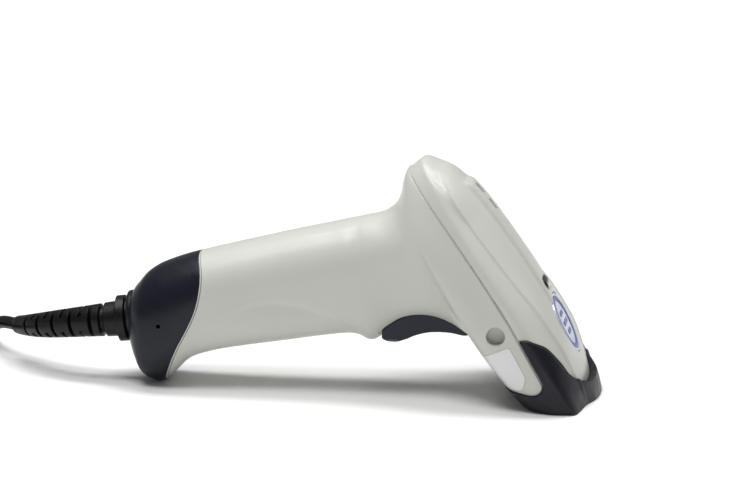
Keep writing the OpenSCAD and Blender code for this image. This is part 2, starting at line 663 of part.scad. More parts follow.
module usb_overmold() color([0.07, 0.07, 0.08]) plug_frame() {
    translate([5, 0, 0]) hull() for (y = [-1, 1], z = [-1, 1]) translate([0, y * 5.8, z * 2.2])
        rotate([0, 90, 0]) cylinder(h = 15, r = 2, $fn = 24);
    translate([-0.01, 0, 0]) rotate([0, 90, 0]) cylinder(h = 6, r1 = 3.2, r2 = 4, $fn = 32);
}

module usb_shell() color([0.75, 0.76, 0.78]) plug_frame() translate([20, 0, 0]) difference() {
    translate([0, -6, -2.25]) cube([12, 12, 4.5]);
    translate([0.6, -5.7, -1.95]) cube([12, 11.4, 3.9]);
}

module usb_tongue() color([0.9, 0.9, 0.92]) plug_frame() translate([20.6, 0, 0]) translate([0, -5.65,
    -1.9]) cube([10.6, 11.3, 1.9]);

body_shell();
top_cover();
bumper();
end_cap();
scan_window();
badge();
badge_emblem();
rating_label();
indicator_lens();
indicator_led();
trigger();
trigger_pin();
trigger_spring();
trigger_switch();
switch_plunger();
main_board();
decoder_chips();
head_board();
buzzer();
optics_chassis();
chassis_screws();
lens_barrel();
lens_element();
sensor_board();
ccd_sensor();
sensor_flex();
led_board();
illumination_leds();
cover_screws();
cable_socket();
cable_plug();
plug_latch();
cable_boot();
cord_lead();
cord_coil();
cord_tie();
cord_tail();
usb_overmold();
usb_shell();
usb_tongue();
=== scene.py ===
import math

import bmesh
import bpy
import numpy as np
from mathutils import Matrix, Vector


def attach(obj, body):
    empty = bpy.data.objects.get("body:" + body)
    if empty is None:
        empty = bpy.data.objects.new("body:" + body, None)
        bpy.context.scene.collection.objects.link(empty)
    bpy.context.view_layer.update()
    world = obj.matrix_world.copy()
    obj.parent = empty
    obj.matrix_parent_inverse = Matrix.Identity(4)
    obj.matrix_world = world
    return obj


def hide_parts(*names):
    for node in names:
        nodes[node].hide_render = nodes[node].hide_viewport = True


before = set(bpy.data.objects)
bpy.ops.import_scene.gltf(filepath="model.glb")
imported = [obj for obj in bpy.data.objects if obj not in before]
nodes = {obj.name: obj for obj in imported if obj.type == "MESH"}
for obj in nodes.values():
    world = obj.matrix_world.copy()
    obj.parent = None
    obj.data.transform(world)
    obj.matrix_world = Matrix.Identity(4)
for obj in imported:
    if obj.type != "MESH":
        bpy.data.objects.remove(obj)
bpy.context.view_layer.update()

# Shapes are drawn in millimetres in the scanner's frame. finish_piece moves them by SHIFT in x to the row's.
MM = 0.001
SHIFT = 1.8
# The head's frame: s runs down the head towards the nose, y across it, t out of its upper face
HEAD_X, HEAD_Z = 16.0, 78.0
TILT = math.radians(55.5)
WALL = 2.4
BIG = 400.0
# How far each side stands back from the line between shell and cover, and from the end cap's seam
PARTING_GAP, CAP_GAP = 0.04, 0.1
# Height of the shells above the table, which only the bumper's rim and the end cap's heel touch
LIFT = 0.7


# ---- camera -------------------------------------------------------------------------------

camera = bpy.data.objects.new("camera", bpy.data.cameras.new("camera"))
bpy.context.scene.collection.objects.link(camera)
camera.data.lens = 201.7
camera.data.sensor_width = 36
camera.data.clip_end = 50
aim = Vector((0.0043, 0, 0.0492))
azimuth, elevation, distance = math.radians(7), math.radians(13), 1.48
camera.location = aim + distance * Vector((math.sin(azimuth) * math.cos(elevation),
                                           -math.cos(azimuth) * math.cos(elevation), math.sin(elevation)))
camera.rotation_euler = (aim - camera.location).to_track_quat("-Z", "Y").to_euler()
bpy.context.scene.camera = camera


# ---- materials ----------------------------------------------------------------------------

CLOUD_SCALE, SMEAR_SCALE = 55, 190
GRAIN_DEPTH = 0.00006
GLOW_STRENGTH = 0.15


def linear(c):
    """Linear colour with alpha, from the display values that colours are given in."""
    return tuple(v / 12.92 if v <= 0.04045 else ((v + 0.055) / 1.055) ** 2.4 for v in c) + (1.0,)


def material(name, colour, rough=0.4, spread=0.06, tint=0.03, grain=0.0, grain_size=0.4, soft=0.35, wear=0.0,
             metallic=0.0, transmission=0.0, coat=0.0, ior=1.46, specular=0.5, streak=False, glow=None):
    """A finish whose colour and roughness vary gently, with fine grain and worn edges. Sizes are in mm."""
    m = bpy.data.materials.new(name)
    m.use_nodes = True
    nt = m.node_tree
    bsdf = nt.nodes["Principled BSDF"]
    new = nt.nodes.new

    def link(a, b):
        nt.links.new(a, b)

    where = new("ShaderNodeTexCoord")
    base = linear(colour)
    cloud = new("ShaderNodeTexNoise")
    cloud.inputs["Scale"].default_value = CLOUD_SCALE
    cloud.inputs["Detail"].default_value = 5
    stretch = new("ShaderNodeMapping")
    stretch.inputs["Scale"].default_value = (1, 1, 14) if streak else (1, 1, 1)
    link(where.outputs["Object"], stretch.inputs["Vector"])
    link(stretch.outputs["Vector"], cloud.inputs["Vector"])
    ramp = new("ShaderNodeValToRGB")
    ramp.color_ramp.elements[0].position = 0.3
    ramp.color_ramp.elements[1].position = 0.7
    ramp.color_ramp.elements[0].color = tuple(v * (1 - tint) for v in base[:3]) + (1,)
    ramp.color_ramp.elements[1].color = tuple(min(1, v * (1 + tint)) for v in base[:3]) + (1,)
    link(cloud.outputs["Fac"], ramp.inputs["Fac"])
    tone = ramp.outputs["Color"]
    if wear:
        edge = new("ShaderNodeNewGeometry")
        pick = new("ShaderNodeMapRange")
        pick.inputs["From Min"].default_value = 0.53
        pick.inputs["From Max"].default_value = 0.62
        pick.inputs["To Max"].default_value = wear
        link(edge.outputs["Pointiness"], pick.inputs["Value"])
        worn = new("ShaderNodeMix")
        worn.data_type = "RGBA"
        worn.inputs[7].default_value = tuple(min(1, v * 1.5 + 0.02) for v in base[:3]) + (1,)
        link(pick.outputs["Result"], worn.inputs[0])
        link(tone, worn.inputs[6])
        tone = worn.outputs[2]
    link(tone, bsdf.inputs["Base Color"])
    smear = new("ShaderNodeTexNoise")
    smear.inputs["Scale"].default_value = SMEAR_SCALE
    smear.inputs["Detail"].default_value = 3
    link(stretch.outputs["Vector"], smear.inputs["Vector"])
    level = new("ShaderNodeMapRange")
    level.inputs["From Min"].default_value = 0.3
    level.inputs["From Max"].default_value = 0.7
    level.inputs["To Min"].default_value = max(0.02, rough - spread)
    level.inputs["To Max"].default_value = min(1, rough + spread)
    link(smear.outputs["Fac"], level.inputs["Value"])
    link(level.outputs["Result"], bsdf.inputs["Roughness"])
    round_off = new("ShaderNodeBevel")
    round_off.samples = 4
    round_off.inputs["Radius"].default_value = soft * MM
    normal = round_off.outputs["Normal"]
    if grain:
        speck = new("ShaderNodeTexNoise")
        speck.inputs["Scale"].default_value = 1000 / grain_size
        speck.inputs["Detail"].default_value = 2
        link(where.outputs["Object"], speck.inputs["Vector"])
        bump = new("ShaderNodeBump")
        bump.inputs["Strength"].default_value = grain
        bump.inputs["Distance"].default_value = GRAIN_DEPTH
        link(speck.outputs["Fac"], bump.inputs["Height"])
        link(normal, bump.inputs["Normal"])
        normal = bump.outputs["Normal"]
    link(normal, bsdf.inputs["Normal"])
    bsdf.inputs["Metallic"].default_value = metallic
    bsdf.inputs["Transmission Weight"].default_value = transmission
    bsdf.inputs["Coat Weight"].default_value = coat
    bsdf.inputs["Coat Roughness"].default_value = 0.15
    bsdf.inputs["IOR"].default_value = ior
    bsdf.inputs["Specular IOR Level"].default_value = specular
    if glow:
        bsdf.inputs["Emission Color"].default_value = linear(glow)
        bsdf.inputs["Emission Strength"].default_value = GLOW_STRENGTH
    return m


FINISHES = {
    "shell": dict(colour=(0.795, 0.80, 0.77), rough=0.34, spread=0.05, tint=0.015, grain=0.35,
                  grain_size=0.35, soft=0.3),
    "bumper_rubber": dict(colour=(0.055, 0.06, 0.105), rough=0.44, spread=0.08, tint=0.08, grain=0.7,
                          grain_size=0.5, soft=0.6, wear=0.10, specular=0.4),
    "cap_plastic": dict(colour=(0.075, 0.085, 0.13), rough=0.33, spread=0.06, tint=0.06, grain=0.5,
                        grain_size=0.4, soft=0.5, wear=0.08, specular=0.35),
    "trigger_plastic": dict(colour=(0.14, 0.15, 0.205), rough=0.38, spread=0.06, tint=0.06, grain=0.5,
                            grain_size=0.4, soft=0.5, wear=0.08, specular=0.35),
    "window": dict(colour=(0.42, 0.06, 0.07), rough=0.08, spread=0.03, tint=0.03, transmission=0.6,
                   ior=1.49, soft=0.2),
    "badge_plate": dict(colour=(0.80, 0.82, 0.87), rough=0.3, spread=0.08, tint=0.03, grain=0.2,
                        grain_size=0.5, metallic=0.25, soft=0.2),
    "badge_ink": dict(colour=(0.20, 0.27, 0.60), rough=0.35, spread=0.06, tint=0.05, grain=0.2,
                      grain_size=0.5, soft=0.1),
    "label": dict(colour=(0.90, 0.90, 0.90), rough=0.4, spread=0.08, tint=0.02, grain=0.25, grain_size=0.6,
                  soft=0.1),
    "smoked_lens": dict(colour=(0.07, 0.07, 0.10), rough=0.08, spread=0.03, tint=0.05, coat=0.5, soft=0.3),
    "led": dict(colour=(0.9, 0.9, 0.85), rough=0.3, spread=0.05, tint=0.03, soft=0.1),
    "led_red": dict(colour=(0.75, 0.10, 0.09), rough=0.15, spread=0.05, tint=0.05, transmission=0.3,
                    soft=0.1, glow=(0.9, 0.1, 0.1)),
    "steel": dict(colour=(0.72, 0.73, 0.75), rough=0.28, spread=0.1, tint=0.05, grain=0.2, grain_size=0.3,
                  metallic=1.0, streak=True, soft=0.1),
    "black_plastic": dict(colour=(0.12, 0.12, 0.13), rough=0.5, spread=0.08, tint=0.08, grain=0.5,
                          grain_size=0.5, soft=0.2),
    "red_plastic": dict(colour=(0.70, 0.13, 0.10), rough=0.4, spread=0.06, tint=0.05, grain=0.3,
                        grain_size=0.5, soft=0.15),
    "white_plastic": dict(colour=(0.90, 0.90, 0.92), rough=0.4, spread=0.06, tint=0.03, grain=0.3,
                          grain_size=0.5, soft=0.15),
    "clear_plastic": dict(colour=(0.86, 0.88, 0.90), rough=0.12, spread=0.04, tint=0.02, transmission=0.8,
                          ior=1.49, soft=0.2),
    "circuit_board": dict(colour=(0.09, 0.33, 0.18), rough=0.35, spread=0.1, tint=0.18, grain=0.5,
                          grain_size=0.8, coat=0.3, soft=0.1),
    "flex_film": dict(colour=(0.74, 0.50, 0.18), rough=0.3, spread=0.08, tint=0.12, grain=0.3,
                      grain_size=0.8, coat=0.3, soft=0.05),
    "lens_glass": dict(colour=(0.85, 0.92, 0.95), rough=0.04, spread=0.02, tint=0.02, transmission=0.95,
                       ior=1.52, soft=0.1),
    "boot_rubber": dict(colour=(0.035, 0.035, 0.04), rough=0.4, spread=0.08, tint=0.12, grain=0.8,
                        grain_size=0.5, soft=0.4, wear=0.12, specular=0.3),
    "cord_jacket": dict(colour=(0.035, 0.035, 0.04), rough=0.36, spread=0.08, tint=0.1, grain=0.5,
                        grain_size=0.6, soft=0.2, specular=0.35),
}
LOOKS = {name: material(name, **finish) for name, finish in FINISHES.items()}


# ---- the cord: lead, coil and tail on one curve ----------------------------------------------

CORD_D = 4.6
# The route's points are in the row's frame
LEAD = [(-128.7, 21.8, 12.7), (-131.6, 25, 12.3), (-134.5, 28.4, 11.9), (-137.2, 32, 11), (-139.7, 35.8, 9.4),
        (-141.8, 39.8, 7.4), (-143.5, 44, 5.4), (-145, 48.4, 3.8), (-146.8, 52.7, 2.8), (-149.3, 56.8, 2.3),
        (-152.6, 60.6, 2.3)]
COIL_AT, COIL_R, TURNS_WIDE = (-182.0, 40.0), 25.0, 5
WHOLE_TURNS, TURNS_IN, CLIMB, POINTS_PER_TURN = 9, 4.0, 0.5, 26
TAIL = [(-179, 5.9, 6.9), (-172, 5.4, 6.3), (-165.4, 4.4, 4.8), (-159.4, 2.2, 3.2), (-155.2, -1.6, 2.4),
        (-153.8, -6.3, 2.3), (-155.6, -11, 2.6), (-159.6, -14, 3.2), (-164.2, -15.2, 3.9), (-168, -15.4, 4.2)]


def coil_points():
    """Turns in two layers: in along the table, up by one diameter, and out again on top, about 8.6 in all."""
    inwards = (TURNS_WIDE - 1) * CORD_D
    outer = COIL_R + inwards / 2
    start = math.radians(50)
    turns_all = (math.radians(-95) + 2 * math.pi * WHOLE_TURNS - start) / (2 * math.pi)
    turns_out = turns_all - TURNS_IN - CLIMB
    points = []
    steps = POINTS_PER_TURN * WHOLE_TURNS
    for i in range(steps + 1):
        turns = turns_all * i / steps
        if turns < TURNS_IN:
            r, z = outer - inwards * turns / TURNS_IN, CORD_D / 2
        elif turns < TURNS_IN + CLIMB:
            r, z = outer - inwards, CORD_D / 2 + CORD_D * (turns - TURNS_IN) / CLIMB
        else:
            r, z = outer - inwards * (1 - (turns - TURNS_IN - CLIMB) / turns_out), CORD_D * 1.5
        a = start + 2 * math.pi * turns
        points.append((COIL_AT[0] + r * math.cos(a), COIL_AT[1] + r * math.sin(a), z))
    return points


route = LEAD + coil_points() + TAIL
cord_curve = bpy.data.curves.new("cord", "CURVE")
cord_curve.dimensions = "3D"
spline = cord_curve.splines.new("NURBS")
spline.points.add(len(route) - 1)
for point, p in zip(spline.points, route):
    point.co = (p[0] * MM, p[1] * MM, p[2] * MM, 1)
spline.order_u = 3
spline.use_endpoint_u = True
spline.resolution_u = 4
cord_curve.bevel_depth = CORD_D / 2 * MM
cord_curve.bevel_resolution = 5
cord_curve.use_fill_caps = True
cord = bpy.data.objects.new("cord", cord_curve)
bpy.context.scene.collection.objects.link(cord)


# ---- curves and surfaces ----------------------------------------------------------------------

def smooth(rows, v):
    """Points of a smooth curve through rows, at the places v counted in rows."""
    rows = np.array(rows, float)
    v = np.atleast_1d(np.asarray(v, float))
    n = len(rows)
    i = np.clip(np.floor(v).astype(int), 0, n - 2)
    f = (v - i)[:, None]
    a, b, c, d = rows[np.maximum(i - 1, 0)], rows[i], rows[i + 1], rows[np.minimum(i + 2, n - 1)]
    return 0.5 * (2 * b + (c - a) * f + (2 * a - 5 * b + 4 * c - d) * f * f
                  + (3 * b - a - 3 * c + d) * f ** 3)


def table(rows, x):
    """Smooth value of [place, value] pairs, with the slope at each place shared by its two sides."""
    xs, ys = np.array(rows, float).T
    slope = np.diff(ys) / np.diff(xs)
    tangent = np.zeros(len(xs))
    same = slope[:-1] * slope[1:] > 0
    tangent[1:-1][same] = 2 * slope[:-1][same] * slope[1:][same] / (slope[:-1][same] + slope[1:][same])
    tangent[0], tangent[-1] = slope[0], slope[-1]
    x = np.clip(np.asarray(x, float), xs[0], xs[-1])
    i = np.clip(np.searchsorted(xs, x, side="right") - 1, 0, len(xs) - 2)
    h = xs[i + 1] - xs[i]
    f = (x - xs[i]) / h
    return ((1 + 2 * f) * (1 - f) ** 2 * ys[i] + f * (1 - f) ** 2 * h * tangent[i]
            + f * f * (3 - 2 * f) * ys[i + 1] + f * f * (f - 1) * h * tangent[i + 1])


def power(v, e):
    """Power that keeps the sign of v."""
    return np.sign(v) * np.abs(v) ** e


def egg(a, half, taper, order):
    """Place from 0 to 1 down a rounded section and its half width there; order sets how square it is."""
    u = 0.5 * (1 - power(np.cos(a), 2 / order))
    return u, half * power(np.sin(a), 2 / order) * (1 + taper * (2 * u - 1))


def head(s, y, t):
    """Points of the head's frame in the scanner's frame, in millimetres."""
    s, y, t = np.broadcast_arrays(np.asarray(s, float), np.asarray(y, float), np.asarray(t, float))
    return np.stack([HEAD_X + s * math.cos(TILT) + t * math.sin(TILT), y,
                     HEAD_Z - s * math.sin(TILT) + t * math.cos(TILT)], -1)


# Half widths of the handle and the head, and the head's ends in s
G, H = 16.4, 31.0
BACK, END = -2.2, 118.0


def head_xz(s, t):
    """x and z of a point on the head's middle line."""
    p = head(s, 0, t)
    return [float(p[0]), float(p[2])]


# Rings of handle and lower head: top x, z, bottom x, z, half width, taper and order of the section
GRIP = [
    [-84.3, 31.0, -84.9, 14.5, 8.5, 0, 2.1], [-83.4, 33.2, -84.0, 11.8, 10.8, 0, 2.1],
    [-81.6, 35.6, -82.8, 8.0, 13.2, 0, 2.15], [-78.8, 38.9, -80.9, 3.6, G - 1.2, 0, 2.2],
    [-74.8, 41.7, -77.8, 1.0, G - 0.2, 0, 2.25], [-70.1, 43.8, -73.2, 0.1, G + 0.3, 0, 2.3],
    [-65.1, 45.6, -68.8, 3.4, G + 0.3, 0, 2.3], [-59.2, 47.3, -63.0, 8.8, G + 0.1, 0, 2.3],
    [-50.5, 49.6, -54.5, 11.8, G, 0, 2.3], [-41.0, 52.0, -43.0, 14.0, G - 0.1, 0, 2.3],
    [-31.0, 54.5, -31.0, 15.9, G - 0.2, 0, 2.3], [-21.0, 56.9, -19.5, 17.8, G, 0, 2.3],
    [-12.5, 58.8, -8.5, 19.4, G + 0.2, 0, 2.3], [-8.5, 59.8, -3.0, 19.3, G + 0.4, 0, 2.3],
    [-5.5, 60.5, 1.6, 17.4, G + 0.6, 0, 2.3], [-3.0, 61.0, 5.0, 18.8, G + 0.8, 0, 2.3],
    [-1.0, 61.5, 9.0, 22.3, G + 1.0, 0, 2.3], [1.4, 62.0, 14.0, 25.4, G + 1.3, 0, 2.3],
    [3.9, 62.6, 20.0, 26.7, G + 1.8, 0, 2.3], [6.0, 63.4, 26.0, 26.2, G + 2.4, 0, 2.3],
    [7.9, 64.6, 31.5, 24.2, G + 3.3, 0.01, 2.3], [9.6, 66.1, 36.5, 21.2, G + 4.8, 0.04, 2.3],
    [11.1, 68.5, 42.3, 17.2, G + 7.2, 0.1, 2.35], [12.2, 72.0, 50.4, 6.2, G + 10.8, 0.19, 2.45],
    [13.1, 76.4, 64.0, -7.9, H - 1.4, 0.27, 2.55],
    head_xz(BACK, 0) + head_xz(END, 0) + [H, 0.3, 2.6],
    head_xz(BACK, 6) + head_xz(END, 6) + [H, 0.3, 2.6]]

# Crease that sweeps along the handle's side, and how deep the surface steps in below it
SWOOSH = [[-60, 18.6], [-57.9, 20], [-53, 24], [-45.7, 29.5], [-38, 32.6], [-31.4, 33.6], [-23.2, 33.3],
          [-17, 31.5], [-11.4, 28.8], [-6, 25.4], [-0.6, 22], [3.2, 18.5]]
SWOOSH_DEPTH = [[-60, 0], [-50, 0.35], [-40, 0.6], [-24, 0.9], [-8, 0.9], [-1, 0.6], [3.2, 0]]


def grip_rings(grow, start, stop, step, count, swoosh=False):
    """Rings of the handle and lower head between two rows of GRIP, grown outwards by grow."""
    v = np.arange(start, stop + step / 2, step)
    q = smooth(GRIP, v)
    top, low = q[:, 0:2], q[:, 2:4]
    d = (low - top) / np.linalg.norm(low - top, axis=1)[:, None]
    a, b = top - d * grow, low + d * grow
    angle = 2 * np.pi * np.arange(count) / count
    u, out = egg(angle[None, :], q[:, 4:5] + grow, q[:, 5:6], q[:, 6:7])
    p = a[:, None, :] + (b - a)[:, None, :] * u[:, :, None]
    rings = np.stack([p[:, :, 0], out, p[:, :, 1]], -1)
    if swoosh:
        x, y, z = rings[..., 0], rings[..., 1], rings[..., 2]
        below = table(SWOOSH, x) - z
        fade = np.exp(-np.maximum(below - 2.5, 0) / 7.0) * (1 - np.exp(-np.maximum(below, 0) / 0.9))
        side = np.clip((np.abs(y) - 6) / 7, 0, 1)
        ends = np.where((x > -60) & (x < 3.2), table(SWOOSH_DEPTH, x), 0)
        rings[..., 1] -= np.sign(y) * ends * fade * side
    return rings


# Along the head: height of its side crease, half width there, and height of the middle for cover and bumper
CREASE = [[3, 10.4], [7, 8.8], [13, 9], [30, 10], [50, 11.8], [64, 13.2], [76, 12.9], [90, 10.2], [100, 7],
          [118, 0]]
FLANK = [[3, 24], [13, 25], [25, 23], [40, 23.6], [57, 25], [66, 25.2], [76, 24.2], [90, 20.8], [100, 19],
         [118, 15]]
DECK = [[3, 10.4], [4.5, 11.7], [7, 13], [11, 14.1], [16, 15.1], [22, 15.8], [30, 16.2], [45, 16.3],
        [60, 15.9], [74, 14.9], [85, 13.2], [95, 10.4], [106, 6], [118, 0]]
NOSE = [[3, 10.4], [16, 15.1], [45, 16.3], [62, 15.9], [74, 14.9], [85, 13.7], [91, 13.3], [96, 12.2],
        [101, 10.3], [118, 0]]
SPINE_ENDS = [[12, 0], [15, 1], [58, 1], [72, 0]]
SPINE_SIDES = [[6.5, 1], [7.5, 0]]
CREASE_BACK = 3.0
CREASE_LIP = 0.5
# Height down to which the head's side is straight, how far it leans in below, its low edge, the dome's middle
SIDE_FOOT, SEAM_INSET, LOW_EDGE, DOME_MIDDLE = 4.6, 0.6, -3.0, 50


def crease_half(s):
    """Half width of the head at its crease."""
    u = np.clip((s - CREASE_BACK) / (END - CREASE_BACK), 0, 1)
    rounding = (1 - np.abs(2 * u - 1) ** 2.7) ** (1 / 2.7)
    return np.maximum(0.01, table(FLANK, s) * rounding)


def dome(s, y, deck):
    """Height of the head's upper face, with its raised spine."""
    edge = table(CREASE, s)
    return (edge + (table(deck, s) - edge) * (1 - np.minimum(1, np.abs(y) / crease_half(s)) ** 2.4)
            + 1.1 * table(SPINE_ENDS, s) * table(SPINE_SIDES, np.abs(y)))


def cover_rings(grow, deck, count, fine, inset):
    """Rings of the head's upper form: a low edge, the side up to the crease, then the dome inwards."""
    a = 2 * np.pi * np.arange(count) / count

    def outline(extra):
        u, out = egg(a, H + extra, 0.3, 2.6)
        return BACK - extra + (END - BACK + 2 * extra) * u, out

    def crease(extra):
        u, w = egg(a, 1, 0, 2.7)
        s = CREASE_BACK + (END - CREASE_BACK) * u
        return s + extra * (2 * u - 1), w * (table(FLANK, s) + extra), s

    rings = []
    s, y = outline(grow - inset)
    rings.append(np.stack([s, y, np.full(count, LOW_EDGE)], -1))
    p, q = outline(grow), crease(grow)
    bead = CREASE_LIP * np.interp(q[2], [5, 11, 92, 102], [0, 1, 1, 0]) if fine else 0
    if fine:
        rises = np.concatenate([np.linspace(0, 0.92, 20), [0.935, 0.95, 0.97, 1]])
    else:
        rises = np.linspace(0, 1, 7)
    for f in rises:
        out = f - 0.42 * math.sin(math.pi * f) * (1 - f * 0.6)
        rings.append(np.stack([p[0] + (q[0] - p[0]) * out, p[1] + (q[1] - p[1]) * out,
                               SIDE_FOOT + (table(CREASE, q[2]) + grow - SIDE_FOOT) * f
                               + bead * np.interp(f, [0.94, 0.985], [0, 1])], -1))
    plain = crease(0)
    if fine:
        rhos = np.concatenate([[0.997, 0.991, 0.984, 0.97], np.arange(0.95, 0.03, -0.0125)])
    else:
        rhos = [0.985, 0.9, 0.7, 0.4, 0.12]
    for rho in rhos:
        s, y = DOME_MIDDLE + (plain[0] - DOME_MIDDLE) * rho, plain[1] * rho
        lip = bead * np.interp(1 - rho, [0, 0.004, 0.02], [1, 0.9, 0])
        rings.append(np.stack([DOME_MIDDLE + (q[0] - DOME_MIDDLE) * rho, q[1] * rho,
                               dome(s, y, deck) + grow + lip], -1))
    rings = np.array(rings)
    return head(rings[..., 0], rings[..., 1], rings[..., 2])


def parting(s):
    """Height in t of the line between shell and cover."""
    return 0.4 + 3.6 * np.sin(np.radians(1.8 * np.asarray(s, float)))


# ---- solids and cutting ------------------------------------------------------------------------

def solid(verts, faces):
    """A closed mesh object from millimetre points, with its faces turned outwards."""
    bm = bmesh.new()
    points = [bm.verts.new(tuple(float(c) for c in p)) for p in verts]
    for f in faces:
        bm.faces.new([points[i] for i in f])
    bmesh.ops.recalc_face_normals(bm, faces=bm.faces)
    mesh = bpy.data.meshes.new("solid")
    bm.to_mesh(mesh)
    bm.free()
    obj = bpy.data.objects.new("solid", mesh)
    bpy.context.scene.collection.objects.link(obj)
    return obj


def loft(rings):
    """Closed solid through rings of equally many points, with flat ends."""
    n, m = rings.shape[:2]
    faces = [(i * m + j, i * m + (j + 1) % m, (i + 1) * m + (j + 1) % m, (i + 1) * m + j)
             for i in range(n - 1) for j in range(m)]
    faces += [tuple(range(m - 1, -1, -1)), tuple((n - 1) * m + j for j in range(m))]
    return solid(rings.reshape(-1, 3), faces)


def prism(low, high):
    """Closed solid between two outlines of equally many points."""
    n = len(low)
    faces = [(i, (i + 1) % n, n + (i + 1) % n, n + i) for i in range(n)]
    return solid(list(low) + list(high), faces + [tuple(range(n - 1, -1, -1)), tuple(range(n, 2 * n))])


def across(outline, width=BIG, in_head=False, y=0.0):
    """Prism across the mirror plane from an x, z outline, or an s, t one in the head's frame."""
    outline = np.array(outline, float)
    ends = []
    for side in (-0.5, 0.5):
        if in_head:
            ends.append(head(outline[:, 0], y + side * width, outline[:, 1]))
        else:
            ends.append(np.stack([outline[:, 0], np.full(len(outline), y + side * width), outline[:, 1]], -1))
    return prism(*ends)


def block(low, high, in_head=False):
    """Box between two corners."""
    x, y, z = low
    X, Y, Z = high
    flat = np.array([(x, y), (X, y), (X, Y), (x, Y)], float)
    ends = [np.column_stack([flat, np.full(4, level)]) for level in (z, Z)]
    if in_head:
        ends = [head(e[:, 0], e[:, 1], e[:, 2]) for e in ends]
    return prism(*ends)


def rod(start, stop, r, sides=64):
    """Cylinder between two points."""
    start, stop = Vector(start), Vector(stop)
    turn = (stop - start).to_track_quat("Z", "Y")
    ends = []
    for centre in (start, stop):
        ends.append([centre + turn @ Vector((r * math.cos(a), r * math.sin(a), 0))
                     for a in (2 * math.pi * i / sides for i in range(sides))])
    return prism(*ends)


def head_rod(s, y, low, high, r):
    """Cylinder square to the head's upper face."""
    return rod(head(s, y, low), head(s, y, high), r, 48)


def above_table(height):
    """All that is higher than height, to cut a piece off flat."""
    return block((-200, -100, height), (200, 100, 200))


def combine(kind, base, *others):
    """Applies base's modifiers and a boolean with each of the others, which are used up."""
    for other in others:
        m = base.modifiers.new("cut", "BOOLEAN")
        m.operation = kind
        m.solver = "MANIFOLD"
        m.object = other
    dg = bpy.context.evaluated_depsgraph_get()
    mesh = bpy.data.meshes.new_from_object(base.evaluated_get(dg))
    old = base.data
    base.modifiers.clear()
    base.data = mesh
    bpy.data.meshes.remove(old)
    for other in others:
        gone = other.data
        bpy.data.objects.remove(other)
        bpy.data.meshes.remove(gone)
    return base


def soften(obj, size, steps):
    """Even mesh with rounded edges, for a moulded piece whose edges are all soft."""
    remesh = obj.modifiers.new("even", "REMESH")
    remesh.mode = "VOXEL"
    remesh.voxel_size = size
    relax = obj.modifiers.new("relax", "SMOOTH")
    relax.factor = 0.5
    relax.iterations = steps
    thin = obj.modifiers.new("thin", "DECIMATE")
    thin.ratio = 0.35
    return combine("UNION", obj)


def both(base, *others):
    return combine("INTERSECT", base, *others)


def minus(base, *others):
    return combine("DIFFERENCE", base, *others)


def plus(base, *others):
    return combine("UNION", base, *others)


# Where the parting line is sampled, in s
AT = np.arange(-13, 125, 2.5)


def above_parting(gap=0.0):
    return across([(s, float(parting(s)) + gap) for s in AT] + [(124.5, 60), (-13, 60)], in_head=True)


def below_parting(gap=0.0):
    return across([(s, float(parting(s)) - gap) for s in AT]
                  + [(124.5, -260), (-220, -260), (-220, -60), (-13, -16)], in_head=True)


# Seam between end cap and shell, in x and z
SEAM = [[-60.4, 52], [-59.2, 47.4], [-57.5, 42.7], [-57.3, 36.8], [-58.8, 29.4], [-61.9, 22.2],
        [-65.9, 14.6], [-69.2, 6.9], [-71.4, 0.7], [-72.2, -4]]
SEAM_LINE = smooth(SEAM, np.arange(0, 9.01, 0.125))


def cap_side(gap=0.0):
    return across([(x - gap, z) for x, z in SEAM_LINE] + [(-110, -4), (-110, 52)])


def body_side(gap=0.0):
    return across([(x + gap, z) for x, z in SEAM_LINE] + [(200, -60), (200, 120), (-60, 120)])


def tongue(grow):
    """Outline in s and y of the cover between the bumper's horns."""
    tip = [(64 + (31 + grow) * float(power(np.cos(a), 0.9)), (32.3 + grow) * float(power(np.sin(a), 0.8)))
           for a in np.radians(np.arange(50, -51, -2))]
    return [(-20, -60), (-20, 60), (79, 60), (79, 36)] + tip + [(79, -36), (79, -60)]


# Upper edge of the bumper's horns in s and t, and the shell's rounded end between horn and table in x and z
HORN = [[66, 3.5], [66.4, 4.9], [67.4, 6.3], [69, 7.4], [71, 8.6], [73.5, 9.7], [77, 10.2], [82, 10.3],
        [86, 9.8], [91, 8], [97, 5], [124.5, 2]]
LOBE = [[51.7, 7.6], [56.5, 6.9], [60, 6.5], [62.3, 6.8], [63.8, 7.8], [64.6, 9.2], [64.9, 10.9], [66.5, 16]]
HORN_LINE = smooth(HORN, np.arange(0, 11.01, 0.2))
LOBE_LINE = smooth(LOBE, np.arange(0, 7.01, 0.1))


def horn_edge(grow):
    line = [(s, float(parting(s)) - grow) for s in np.arange(-13, 64.1, 2.5)]
    line += [(s, t - grow) for s, t in HORN_LINE]
    return across(line + [(124.5, 60), (-13, 60)], in_head=True)


def lobe(grow):
    line = [(-100, 7.6)] + [tuple(p) for p in LOBE_LINE] + [(66.5, 120), (-100, 120)]
    return across([(x + 0.7 * grow, z - 0.7 * grow) for x, z in line])


def standing(outline, low, high):
    """Prism standing on the head's frame."""
    outline = np.array(outline, float)
    return prism(head(outline[:, 0], outline[:, 1], low), head(outline[:, 0], outline[:, 1], high))


def bumper_region(grow):
    """Where the bumper goes; grow widens the shells' share."""
    kept = both(standing(tongue(grow), 0, 60), horn_edge(grow))
    rear = both(below_parting(-grow), lobe(grow))
    return minus(block((50, -60, -60), (130, 60, 50), in_head=True), kept, rear)


# Underside of the pan in front of the trigger, in x and z
PAN = np.array([[36.9, 21.6], [38.4, 19.9], [46.4, 11.6], [54.4, 2.4], [60.5, -5]])


